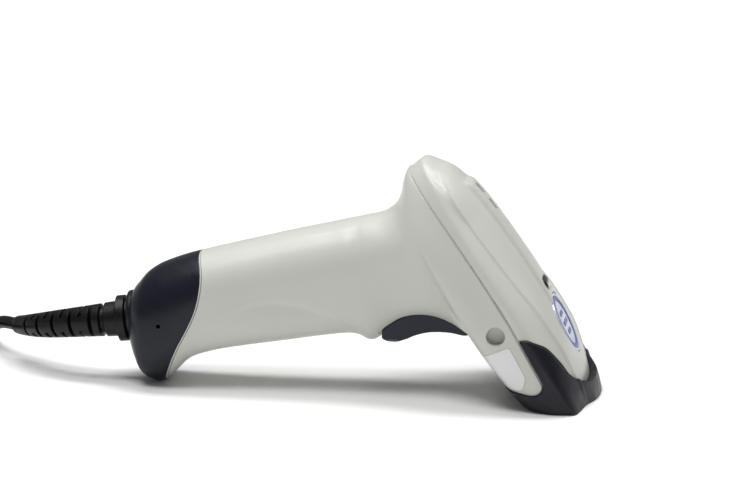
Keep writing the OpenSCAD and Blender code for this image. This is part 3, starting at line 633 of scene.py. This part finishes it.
def behind_pan(depth):
    """All that is deeper than depth behind the pan's underside."""
    edge = PAN + depth * np.array([0.74, 0.67])
    return plus(across([tuple(p) for p in edge] + [(120, -60), (120, 120), (38.6, 120), (38.6, 26)]),
                block((-120, -60, 31), (120, 140, 231)))


def grip(grow=0.0, start=0, stop=26, fine=True, swoosh=False):
    """Solid handle and lower head; the rings lie closer together in the head."""
    if not fine:
        return loft(grip_rings(grow, start, stop, 0.5, 64))
    parts = [grip_rings(grow, start, min(20, stop), 0.125, 160, swoosh)] if start < 20 else []
    if stop > 20:
        parts.append(grip_rings(grow, max(20, start), stop, 0.0625, 160, swoosh)[1 if parts else 0:])
    return loft(np.concatenate(parts))


def cover(grow=0.0, deck=DECK, fine=True, inset=SEAM_INSET):
    """Solid upper form of the head."""
    return loft(cover_rings(grow, deck, 240 if fine else 80, fine, inset))


def finish_piece(obj, name, look, angle=32.0, body="scanner"):
    """Puts a millimetre solid in the row's frame, with sharp edges only where it turns hard."""
    mesh = obj.data
    mesh.transform(Matrix.Scale(MM, 4) @ Matrix.Translation((SHIFT, 0, 0)))
    bm = bmesh.new()
    bm.from_mesh(mesh)
    bmesh.ops.remove_doubles(bm, verts=bm.verts, dist=0.000002)
    bmesh.ops.dissolve_degenerate(bm, edges=bm.edges, dist=0.000001)
    bm.to_mesh(mesh)
    bm.free()
    mesh.shade_smooth()
    mesh.set_sharp_from_angle(angle=math.radians(angle))
    obj.name = name
    mesh.name = name
    mesh.materials.clear()
    mesh.materials.append(LOOKS[look])
    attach(obj, body)


# ---- body shell --------------------------------------------------------------------------------

# Trigger's pin and side recess in x and z, the trigger's slot, and the screws in s and y
PIVOT = (34.2, 26.6)
RECESS = (48.2, 26.8)
SLOT = [[4.9, 10], [4.9, 33], [12, 36], [30, 34.5], [38.6, 30.5], [38.6, 22.6], [37.4, 20], [37.4, 10]]
COVER_SCREW, CHASSIS_SCREW = (25, 18.6), (76, 11)
PIN_R, RECESS_R, RECESS_BOSS_R, SCREW_BOSS_R = 1, 3.3, 5.1, 3.2

outer = grip(swoosh=True)
keep = plus(block((-60, -80, -140), (140, 80, 20), in_head=True), block((-120, -60, -20), (5, 60, 80)))
outer = both(outer, keep, below_parting(PARTING_GAP), body_side(CAP_GAP), above_table(LIFT))
space = plus(behind_pan(WALL), block((-120, -60, -60), (38.7, 60, 140)))
inner = both(grip(-WALL, 2, fine=False), space)
bosses = []
for side in (-1, 1):
    low, high = sorted((side * 9.5, side * 19.5))
    bosses.append(block((31, low, 23.2), (37.6, high, 30.4)))
    bosses.append(rod((RECESS[0], side * 21.5, RECESS[1]), (RECESS[0], side * 29.5, RECESS[1]),
                      RECESS_BOSS_R))
    bosses.append(head_rod(COVER_SCREW[0], side * COVER_SCREW[1], -4, 6, SCREW_BOSS_R))
    bosses.append(head_rod(CHASSIS_SCREW[0], side * CHASSIS_SCREW[1], -14, -7, 3))
bosses.append(block((7, -18, 37.6), (15, -2, 39.2)))
inner = minus(inner, *bosses)
# Recess that takes the bumper, and the shallow groove beside the parting line
seat = minus(both(bumper_region(-0.1), grip(1.9, 20, fine=False)),
             both(grip(-1.1, 18), behind_pan(1.1)))
holes = [across(SLOT, 19), rod((PIVOT[0], -12.5, PIVOT[1]), (PIVOT[0], 12.5, PIVOT[1]), PIN_R)]
for side in (-1, 1):
    holes.append(rod((RECESS[0], side * 28, RECESS[1]), (RECESS[0], side * 40, RECESS[1]), RECESS_R))
    holes.append(head_rod(COVER_SCREW[0], side * COVER_SCREW[1], -5, 7, 1.4))
    holes.append(head_rod(CHASSIS_SCREW[0], side * CHASSIS_SCREW[1], -9.5, -5, 1.2))
step_down = minus(both(grip(1.5, 20, fine=False), above_parting(-0.6), below_parting(-0.5)),
                  grip(-0.45, 19.5))
shell = minus(outer, inner, seat, step_down, *holes)
finish_piece(shell, "body_shell_skin", "shell")
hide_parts("body_shell")

# ---- top cover ---------------------------------------------------------------------------------

# Badge's middle in s and t, and its lean
BADGE = (74.0, 14.3, math.radians(8))
BADGE_POCKET_R = 11.5
INDICATOR_S, INDICATOR_HALF = 58.4, 2.6
SOUND_SLOTS_S = (17.8, 25)


def badge_point(x, y, z):
    """Point of the badge's frame in the scanner's frame."""
    s, t, lean = BADGE
    return head(s + x * math.cos(lean) + z * math.sin(lean), y, t - x * math.sin(lean) + z * math.cos(lean))


def oval(r):
    """Indicator's outline in s and y: two half circles and straight sides."""
    half = [(r * math.cos(a), r * math.sin(a)) for a in np.linspace(0, math.pi, 32)]
    return ([(INDICATOR_S + x, INDICATOR_HALF + y) for x, y in half]
            + [(INDICATOR_S - x, -INDICATOR_HALF - y) for x, y in half])


lid = both(cover(), above_parting(PARTING_GAP), above_table(LIFT))
under = minus(cover(-WALL, fine=False),
              *[head_rod(COVER_SCREW[0], side * COVER_SCREW[1], 0, 20, SCREW_BOSS_R) for side in (-1, 1)])
nose_seat = minus(bumper_region(-0.1), cover(-1.1))
holes = [block((s - 2.2, -1.2, 11), (s + 2.2, 1.2, 23), in_head=True) for s in SOUND_SLOTS_S]
holes.append(standing(oval(2.4), 10, 22))
holes.append(rod(badge_point(0, 0, -0.9), badge_point(0, 0, 7.1), BADGE_POCKET_R, 96))
holes += [head_rod(COVER_SCREW[0], side * COVER_SCREW[1], 0, 9, 1.2) for side in (-1, 1)]
lid = minus(lid, under, nose_seat, *holes)
finish_piece(lid, "top_cover_skin", "shell")
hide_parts("top_cover")


# ---- bumper ------------------------------------------------------------------------------------

def head_form(grow, deck):
    """Head's whole outer form, flush across the parting line."""
    lower = both(grip(grow, 16), block((-60, -80, -200), (200, 80, 0.01), in_head=True))
    upper = both(cover(grow, deck, inset=0), block((-60, -80, -0.01), (200, 80, 60), in_head=True))
    return plus(lower, upper)


rubber = both(head_form(0.9, NOSE), bumper_region(0.1), above_table(0))
rubber = minus(rubber, both(cover(-1.0, DECK, fine=False), above_parting(-2), behind_pan(1.0)))
rubber = minus(rubber, both(grip(-1.0, 16, fine=False), below_parting(-0.3), behind_pan(1.0)))
rubber = soften(rubber, 0.3, 3)
finish_piece(rubber, "bumper_skin", "bumper_rubber", angle=50)
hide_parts("bumper")

# ---- end cap -----------------------------------------------------------------------------------

# Where the cord's collar ends, and its direction
exit_at = Vector((-85, 0, 22.2))
SOCKET_R = 7.2
# Hole that frees the cable's latch, in x and z
PINHOLE, PINHOLE_R = (-72.4, 23.2), 0.75
exit_dir = Vector((-math.cos(math.radians(7)), 0, -math.sin(math.radians(7))))
foot = both(grip(0, 0, 10), cap_side(CAP_GAP), above_table(0))
collar_turn = exit_dir.to_track_quat("Z", "Y")
collar = loft(np.array([[exit_at + exit_dir * z + collar_turn @ Vector((r * math.cos(a), r * math.sin(a), 0))
                         for a in np.linspace(0, 2 * np.pi, 97)[:-1]]
                        for z, r in ((-6, 9.7), (-0.9, 9.7), (-0.45, 9.58), (-0.15, 9.3), (0, 8.9))]))
foot = plus(foot, collar)
foot = minus(foot, grip(-WALL, 2.25, 12, fine=False),
             rod(exit_at - 14 * exit_dir, exit_at + 6 * exit_dir, SOCKET_R, 96),
             rod((PINHOLE[0], -22, PINHOLE[1]), (PINHOLE[0], -10, PINHOLE[1]), PINHOLE_R, 32))
groove = minus(both(grip(1.5, 2, 12), cap_side(0.05)), grip(-0.35, 1, 12), cap_side(0.75))
foot = minus(foot, groove)
finish_piece(foot, "end_cap_skin", "cap_plastic")
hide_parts("end_cap")
rim = minus(both(grip(-0.12, 2, 12), cap_side(0.1)), grip(-0.5, 1, 12), cap_side(0.62))
finish_piece(rim, "end_cap_rim", "shell")

# ---- trigger -----------------------------------------------------------------------------------

# Underside of the trigger, in x and z
FINGER = [[5.9, 20.4], [6.2, 18.9], [8.2, 17.5], [10.8, 17.4], [14.4, 19.2], [18.5, 21.0], [23.5, 22.1],
          [29.6, 22.1], [34.6, 21.2], [36.6, 21.4]]
finger = [tuple(p) for p in smooth(FINGER, np.arange(0, 9.01, 0.1))]
lever = both(across(finger + [(36.6, 26), (32, 28.6), (24, 29.4), (16, 28.6), (9.5, 25.6), (5.9, 22.5)], 18),
             rod((0, 0, 31), (60, 0, 31), 14.6, 128))
lever = plus(soften(lever, 0.22, 9), rod((PIVOT[0], -8, PIVOT[1]), (PIVOT[0], 8, PIVOT[1]), 2.3))
lever = plus(lever, block((18, 2.4, 28), (22, 5.4, 31)))
lever = minus(lever, rod((PIVOT[0], -20, PIVOT[1]), (PIVOT[0], 20, PIVOT[1]), 1.05),
              rod((11, -5, 25.4), (11, -5, 35.4), 3),
              block((21, -6, 25), (24, 6, 33)), block((26, -6, 25), (29, 6, 33)))
finish_piece(lever, "trigger_skin", "trigger_plastic", body="trigger")
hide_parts("trigger")

# ---- badge, indicator and label ------------------------------------------------------------------

def turned(profile, place):
    """Solid of revolution from [radius, height] pairs, with place giving its frame."""
    a = np.linspace(0, 2 * np.pi, 97)[:-1]
    return loft(np.array([[place(r * math.cos(t), r * math.sin(t), z) for t in a] for r, z in profile]))


plate = turned([(11.2, -0.8), (11.2, 0.25), (11.12, 0.42), (10.9, 0.5), (10.45, 0.5), (10.25, 0.42),
                (10.15, 0.22), (9.9, 0.2), (5, 0.28), (0.05, 0.32)], badge_point)
finish_piece(plate, "badge_plate_skin", "badge_plate")
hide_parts("badge")

lens_rings = []
for r, t in ((3.2, 11.3), (3.2, 12.5), (2.3, 12.6), (2.3, 16.9), (2.15, 17.15), (1.85, 17.35), (1.4, 17.48),
             (0.7, 17.55), (0.1, 17.56)):
    flat = np.array(oval(r))
    lens_rings.append(head(flat[:, 0], flat[:, 1], t))
lens = loft(np.array(lens_rings))
finish_piece(lens, "indicator_lens_skin", "smoked_lens", angle=50)
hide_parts("indicator_lens")


def rounded(corners, r):
    """Closed outline with each corner rounded by r."""
    corners = [np.array(c, float) for c in corners]
    out = []
    for i, c in enumerate(corners):
        a, b = corners[i - 1] - c, corners[(i + 1) % len(corners)] - c
        a, b = c + a / np.linalg.norm(a) * r, c + b / np.linalg.norm(b) * r
        for f in np.linspace(0, 1, 6):
            out.append(tuple((1 - f) ** 2 * a + 2 * f * (1 - f) * c + f * f * b))
    return out


label_shape = rounded([(64, -11), (66, -0.5), (78, -1.5), (81, -5), (79, -8.5)], 1.2)
label = both(minus(grip(0.25, 18), grip(0.05, 17.5)), across(label_shape, 26, in_head=True, y=-25))
finish_piece(label, "rating_label_skin", "label")
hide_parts("rating_label")

# ---- strain relief ---------------------------------------------------------------------------------

# Strain relief as x, y, z and radius; its slots as x, y, z, turn, sink and face in degrees
BOOT = [[-85.9, 0, 22.1, 7.5], [-86.4, 0, 22.03, 8.2], [-89.2, 0, 21.7, 8.2], [-89.6, 0, 21.65, 6.3],
        [-93.7, 0.1, 21.1, 6.1], [-94.1, 0.1, 21.05, 4.6], [-95.1, 0.2, 20.95, 4.6], [-95.5, 0.2, 20.9, 5.9],
        [-100.8, 1.2, 20, 5.6], [-108.4, 3.7, 18.5, 5.2], [-115.5, 7.5, 16.8, 4.8], [-121.8, 12.4, 15.1, 4.3],
        [-127.3, 18.2, 13.5, 3.7], [-130.1, 21.4, 12.8, 3.3], [-130.5, 21.8, 12.7, 2.7]]
BOOT_SLOTS = [[-98.4, 0.7, 20.4, 8, 8, 0], [-101.9, 1.5, 19.8, 13, 9, 90], [-105.3, 2.5, 19.1, 18, 11, 0],
              [-108.6, 3.8, 18.5, 23, 12, 90], [-111.8, 5.3, 17.7, 27, 13, 0], [-114.9, 7.1, 17, 31, 13, 90],
              [-117.8, 9.1, 16.2, 36, 13, 0], [-120.5, 11.3, 15.5, 41, 13, 90],
              [-123.1, 13.7, 14.8, 45, 12, 0]]


def tube_rings(rows, sides):
    """Rings square to a path of x, y, z and radius rows."""
    path = [Vector([float(c) for c in r[:3]]) for r in rows]
    rings = []
    for i, p in enumerate(path):
        d = (path[min(i + 1, len(path) - 1)] - path[max(i - 1, 0)]).normalized()
        u = Vector((0, 0, 1)).cross(d).normalized()
        w = d.cross(u)
        rings.append([p + float(rows[i][3]) * (math.cos(a) * u + math.sin(a) * w)
                      for a in (2 * math.pi * j / sides for j in range(sides))])
    return np.array(rings)


bend = smooth(BOOT[7:14], np.arange(0, 6.01, 0.25))
tip = [[-130.35, 21.65, 12.74, 3.15], [-130.5, 21.8, 12.7, 2.7]]
rows = BOOT[:7] + [list(r) for r in bend] + tip
ridge = loft(tube_rings(rows, 64))
ridge = plus(ridge, rod(exit_at - 6.6 * exit_dir, exit_at + 1.2 * exit_dir, 6.9, 64))
cuts = []
for x, y, z, turn, sink, face in BOOT_SLOTS:
    place = (Matrix.Translation((x, y, z)) @ Matrix.Rotation(-math.radians(turn), 4, "Z")
             @ Matrix.Rotation(-math.radians(90 + sink), 4, "Y")
             @ Matrix.Rotation(math.radians(face), 4, "Z"))
    for side in (-1, 1):
        cutter = block((-9, side * 6.4 - 4, -0.75), (9, side * 6.4 + 4, 0.75))
        cutter.data.transform(place)
        cuts.append(cutter)
ridge = minus(ridge, *cuts)
finish_piece(ridge, "cable_boot_skin", "boot_rubber", angle=35)
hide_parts("cable_boot")

cord_curve.materials.append(LOOKS["cord_jacket"])
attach(cord, "scanner")
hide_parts("cord_lead", "cord_coil", "cord_tail")

# ---- materials of the CAD parts that show as they are ------------------------------------------------

SHOWN = {
    "scan_window": "window", "badge_emblem": "badge_ink", "indicator_led": "led", "trigger_pin": "steel",
    "trigger_spring": "steel", "trigger_switch": "black_plastic", "switch_plunger": "red_plastic",
    "main_board": "circuit_board", "decoder_chips": "black_plastic", "head_board": "circuit_board",
    "buzzer": "black_plastic", "optics_chassis": "black_plastic", "chassis_screws": "steel",
    "lens_barrel": "black_plastic", "lens_element": "lens_glass", "sensor_board": "circuit_board",
    "ccd_sensor": "black_plastic", "sensor_flex": "flex_film", "led_board": "circuit_board",
    "illumination_leds": "led_red", "cover_screws": "steel", "cable_socket": "black_plastic",
    "cable_plug": "clear_plastic", "plug_latch": "clear_plastic", "cord_tie": "cord_jacket",
    "usb_overmold": "boot_rubber", "usb_shell": "steel", "usb_tongue": "white_plastic"}
for name, look in SHOWN.items():
    for entry in nodes[name].material_slots:
        entry.material = LOOKS[look]

# ---- floor and light ------------------------------------------------------------------------------

table_top = bpy.data.meshes.new("table_top")
count, half = 24, 4.0
grid = np.linspace(-half, half, count + 1)
table_top.from_pydata([(x, y, 0) for y in grid for x in grid],
                      [], [(j * (count + 1) + i, j * (count + 1) + i + 1, (j + 1) * (count + 1) + i + 1,
                            (j + 1) * (count + 1) + i) for j in range(count) for i in range(count)])
floor = bpy.data.objects.new("table_top", table_top)
bpy.context.scene.collection.objects.link(floor)
glowing_paper = material("glowing_paper", (0.97, 0.97, 0.97), 0.55, 0.05, 0.004, soft=0.01, specular=0.2)
# Painted light: the table glows white, with no glow within 0.14 m of the middle rising to a strength of 0.5
# from 0.7 m out, so it fades into an even white away from the scanner while the shade near the scanner stays
links = glowing_paper.node_tree.links
where = glowing_paper.node_tree.nodes.new("ShaderNodeTexCoord")
reach = glowing_paper.node_tree.nodes.new("ShaderNodeVectorMath")
reach.operation = "LENGTH"
fade = glowing_paper.node_tree.nodes.new("ShaderNodeMapRange")
fade.inputs["From Min"].default_value, fade.inputs["From Max"].default_value = 0.14, 0.7
fade.inputs["To Min"].default_value, fade.inputs["To Max"].default_value = 0.0, 0.5
links.new(where.outputs["Object"], reach.inputs[0])
links.new(reach.outputs["Value"], fade.inputs["Value"])
shine = glowing_paper.node_tree.nodes["Principled BSDF"]
# Painted light: emission on the table that grows with distance from the scanner
shine.inputs["Emission Color"].default_value = (1, 1, 1, 1)
links.new(fade.outputs["Result"], shine.inputs["Emission Strength"])
table_top.materials.append(glowing_paper)


def lamp(name, place, width, height, power_w):
    """Soft rectangular lamp that points at the scanner."""
    data = bpy.data.lights.new(name, "AREA")
    data.shape = "RECTANGLE"
    data.size, data.size_y = width, height
    data.energy = power_w
    obj = bpy.data.objects.new(name, data)
    obj.location = place
    obj.rotation_euler = (Vector((0, 0, 0.03)) - Vector(place)).to_track_quat("-Z", "Y").to_euler()
    bpy.context.scene.collection.objects.link(obj)


lamp("key", (-0.3, -0.3, 1.5), 0.7, 0.5, 12)
lamp("overhead", (0.05, 0.3, 1.3), 1.2, 0.35, 13)
world = bpy.data.worlds.new("studio")
world.use_nodes = True
world.node_tree.nodes["Background"].inputs["Color"].default_value = (1, 1, 1, 1)
world.node_tree.nodes["Background"].inputs["Strength"].default_value = 0.2
bpy.context.scene.world = world
bpy.context.scene.view_settings.view_transform = "Standard"
